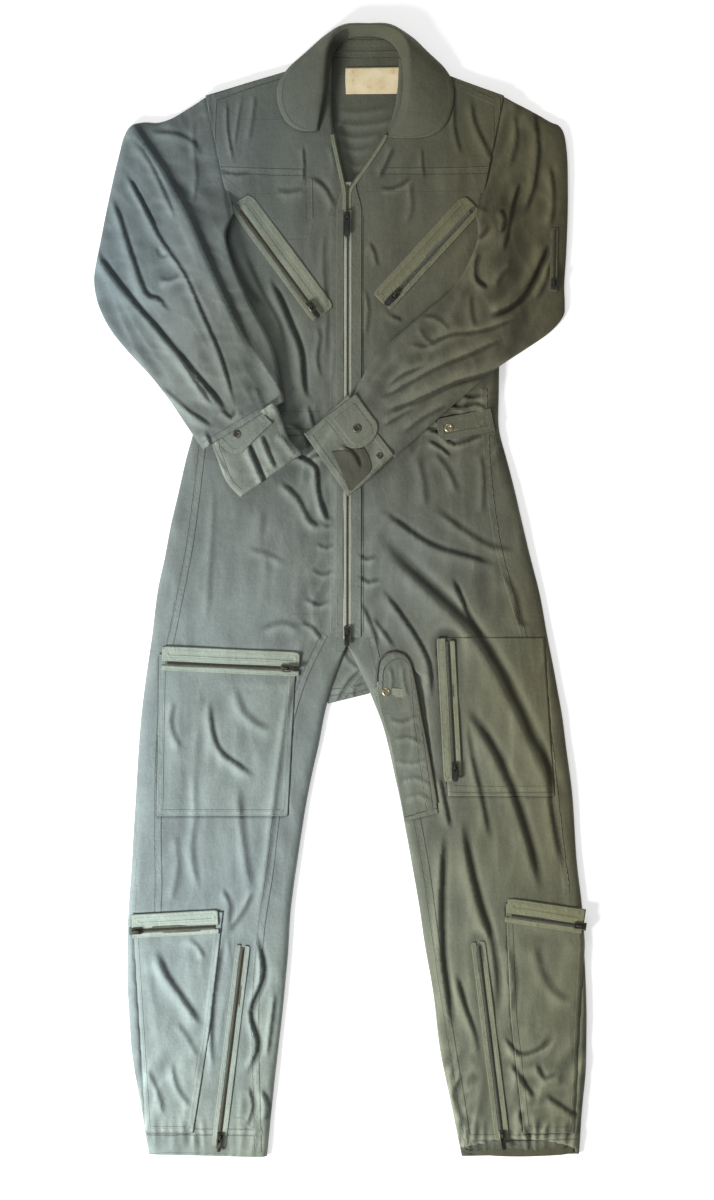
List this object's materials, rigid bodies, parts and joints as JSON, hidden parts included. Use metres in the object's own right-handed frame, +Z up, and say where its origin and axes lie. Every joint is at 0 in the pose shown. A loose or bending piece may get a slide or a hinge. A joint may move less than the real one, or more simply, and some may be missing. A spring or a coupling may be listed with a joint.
{
  "type": "flying coverall",
  "caption": "One-piece cotton flying coverall lying flat on its back, with a long front zip, folded-over sleeves and zipped patch pockets.",
  "frame": {"origin": "middle of the underside of the garment's box, on the surface it lies on", "axes": "+X to the wearer's left, +Y from the hems to the collar, +Z up from the surface through the front"},
  "size_m": [0.6898, 1.574, 0.0351],
  "materials": {
    "sage_cotton": "washed cotton twill, matt",
    "pale_tape": "woven tape and facings, matt",
    "cream_label": "printed cotton tape, matt",
    "black_pull": "worn black leather",
    "dark_zip_metal": "dulled dark enamel",
    "dark_snap": "worn dark enamel",
    "bright_snap": "polished by wear"
  },
  "bodies": {
    "garment": {"torso_back": "sage_cotton", "trouser_back_right": "sage_cotton", "trouser_front_right": "sage_cotton", "torso_front_right": "sage_cotton", "side_seam_right": "sage_cotton", "trouser_back_left": "sage_cotton", "trouser_front_left": "sage_cotton", "torso_front_left": "sage_cotton", "side_seam_left": "sage_cotton", "inseam": "sage_cotton", "collar": "sage_cotton", "neck_label": "cream_label", "thigh_pocket_right": "sage_cotton", "thigh_pocket_left": "sage_cotton", "calf_pocket_right": "sage_cotton", "calf_pocket_left": "sage_cotton", "knife_pocket": "sage_cotton", "main_zip": "pale_tape", "chest_right_zip": "pale_tape", "chest_left_zip": "pale_tape", "thigh_right_zip": "pale_tape", "thigh_left_zip": "pale_tape", "ankle_right_zip": "pale_tape", "ankle_left_zip": "pale_tape", "calf_right_zip": "pale_tape", "calf_left_zip": "pale_tape"},
    "sleeve_right": {"sleeve_right_top": "sage_cotton", "sleeve_right_under": "sage_cotton", "cuff_right": "sage_cotton"},
    "sleeve_left": {"sleeve_left_top": "sage_cotton", "sleeve_left_under": "sage_cotton", "cuff_left": "sage_cotton", "sleeve_pocket_zip": "pale_tape"},
    "cuff_tab_right": {"cuff_tab_right": "sage_cotton", "cuff_snap_right": "dark_snap"},
    "cuff_tab_left": {"cuff_tab_left": "sage_cotton", "cuff_snap_left": "dark_snap"},
    "waist_tab": {"waist_tab_left": "sage_cotton", "waist_snap_left": "bright_snap"},
    "knife_strap": {"knife_strap": "sage_cotton", "knife_snap": "bright_snap"},
    "main_upper_slider": {"main_upper_slider": "dark_zip_metal"},
    "main_lower_slider": {"main_lower_slider": "dark_zip_metal"},
    "chest_right_slider": {"chest_right_slider": "dark_zip_metal"},
    "chest_left_slider": {"chest_left_slider": "dark_zip_metal"},
    "thigh_right_slider": {"thigh_right_slider": "dark_zip_metal"},
    "thigh_left_slider": {"thigh_left_slider": "dark_zip_metal"},
    "ankle_right_slider": {"ankle_right_slider": "dark_zip_metal"},
    "ankle_left_slider": {"ankle_left_slider": "dark_zip_metal"},
    "calf_right_slider": {"calf_right_slider": "dark_zip_metal"},
    "calf_left_slider": {"calf_left_slider": "dark_zip_metal"},
    "sleeve_pocket_slider": {"sleeve_pocket_slider": "black_pull"},
    "main_upper_pull": {"main_upper_pull": "black_pull"},
    "main_lower_pull": {"main_lower_pull": "dark_zip_metal"},
    "chest_right_pull": {"chest_right_pull": "dark_zip_metal"},
    "chest_left_pull": {"chest_left_pull": "black_pull"},
    "thigh_right_pull": {"thigh_right_pull": "dark_zip_metal"},
    "thigh_left_pull": {"thigh_left_pull": "black_pull"},
    "ankle_right_pull": {"ankle_right_pull": "dark_zip_metal"},
    "ankle_left_pull": {"ankle_left_pull": "dark_zip_metal"}
  },
  "joints": [
    {"name": "sleeve_right_swing", "type": "hinge", "parent": "garment", "child": "sleeve_right", "pos_m": [-0.18915, 0.691, 0], "axis": [0, 0, -1], "range_deg": [0, 45]},
    {"name": "sleeve_left_swing", "type": "hinge", "parent": "garment", "child": "sleeve_left", "pos_m": [0.22885, 0.691, 0], "axis": [0, 0, 1], "range_deg": [0, 45]},
    {"name": "cuff_tab_right_hinge", "type": "hinge", "parent": "sleeve_right", "child": "cuff_tab_right", "pos_m": [-0.11183, 0.24877, 0.0328], "axis": [-0.7126, 0.7016, 0], "range_deg": [0, 150]},
    {"name": "cuff_tab_left_hinge", "type": "hinge", "parent": "sleeve_left", "child": "cuff_tab_left", "pos_m": [-0.00006, 0.25529, 0.0328], "axis": [-0.7958, -0.6056, 0], "range_deg": [0, 150]},
    {"name": "waist_tab_hinge", "type": "hinge", "parent": "garment", "child": "waist_tab", "pos_m": [0.21185, 0.239, 0.0129], "axis": [-0.1908, 0.9816, 0], "range_deg": [0, 150]},
    {"name": "knife_strap_hinge", "type": "hinge", "parent": "garment", "child": "knife_strap", "pos_m": [0.09085, -0.143, 0.0144], "axis": [0.0698, 0.9976, 0], "range_deg": [0, 150]},
    {"name": "main_upper_slider_slide", "type": "slide", "parent": "garment", "child": "main_upper_slider", "axis": [0, 1, 0], "range_m": [-0.38, 0]},
    {"name": "main_lower_slider_slide", "type": "slide", "parent": "garment", "child": "main_lower_slider", "axis": [0, 1, 0], "range_m": [0, 0.15]},
    {"name": "chest_right_slider_slide", "type": "slide", "parent": "garment", "child": "chest_right_slider", "axis": [0.5948, -0.8039, 0], "range_m": [-0.152, 0]},
    {"name": "chest_left_slider_slide", "type": "slide", "parent": "garment", "child": "chest_left_slider", "axis": [-0.6756, -0.7373, 0], "range_m": [-0.142, 0]},
    {"name": "thigh_right_slider_slide", "type": "slide", "parent": "garment", "child": "thigh_right_slider", "axis": [0.999, -0.0436, 0], "range_m": [-0.152, 0]},
    {"name": "thigh_left_slider_slide", "type": "slide", "parent": "garment", "child": "thigh_left_slider", "axis": [0.0523, -0.9986, 0], "range_m": [-0.16, 0]},
    {"name": "ankle_right_slider_slide", "type": "slide", "parent": "garment", "child": "ankle_right_slider", "axis": [-0.1219, -0.9925, 0], "range_m": [-0.25, 0]},
    {"name": "ankle_left_slider_slide", "type": "slide", "parent": "garment", "child": "ankle_left_slider", "axis": [0.1219, -0.9925, 0], "range_m": [-0.254, 0]},
    {"name": "calf_right_slider_slide", "type": "slide", "parent": "garment", "child": "calf_right_slider", "axis": [-0.9986, -0.0523, 0], "range_m": [-0.094, 0]},
    {"name": "calf_left_slider_slide", "type": "slide", "parent": "garment", "child": "calf_left_slider", "axis": [0.989, -0.1478, 0], "range_m": [-0.082, 0]},
    {"name": "sleeve_pocket_slider_slide", "type": "slide", "parent": "sleeve_left", "child": "sleeve_pocket_slider", "axis": [-0.0175, -0.9998, 0], "range_m": [-0.066, 0]},
    {"name": "main_upper_pull_hinge", "type": "hinge", "parent": "main_upper_slider", "child": "main_upper_pull", "pos_m": [0.00885, 0.5225, 0.01715], "axis": [-1, 0, 0], "range_deg": [0, 170]},
    {"name": "main_lower_pull_hinge", "type": "hinge", "parent": "main_lower_slider", "child": "main_lower_pull", "pos_m": [0.00885, -0.0565, 0.01715], "axis": [-1, 0, 0], "range_deg": [0, 170]},
    {"name": "chest_right_pull_hinge", "type": "hinge", "parent": "chest_right_slider", "child": "chest_right_pull", "pos_m": [-0.04171, 0.39696, 0.01715], "axis": [-0.8039, -0.5948, 0], "range_deg": [0, 170]},
    {"name": "chest_left_pull_hinge", "type": "hinge", "parent": "chest_left_slider", "child": "chest_left_pull", "pos_m": [0.0758, 0.41235, 0.01715], "axis": [-0.7373, 0.6756, 0], "range_deg": [0, 170]},
    {"name": "thigh_right_pull_hinge", "type": "hinge", "parent": "thigh_right_slider", "child": "thigh_right_pull", "pos_m": [-0.07681, -0.10822, 0.01865], "axis": [-0.0436, -0.999, 0], "range_deg": [0, 170]},
    {"name": "thigh_left_pull_hinge", "type": "hinge", "parent": "thigh_left_slider", "child": "thigh_left_pull", "pos_m": [0.15893, -0.24626, 0.01865], "axis": [-0.9986, -0.0523, 0], "range_deg": [0, 170]},
    {"name": "ankle_right_pull_hinge", "type": "hinge", "parent": "ankle_right_slider", "child": "ankle_right_pull", "pos_m": [-0.16839, -0.76253, 0.01715], "axis": [-0.9925, 0.1219, 0], "range_deg": [0, 170]},
    {"name": "ankle_left_pull_hinge", "type": "hinge", "parent": "ankle_left_slider", "child": "ankle_left_pull", "pos_m": [0.22533, -0.75951, 0.01715], "axis": [-0.9925, -0.1219, 0], "range_deg": [0, 170]}
  ]
}
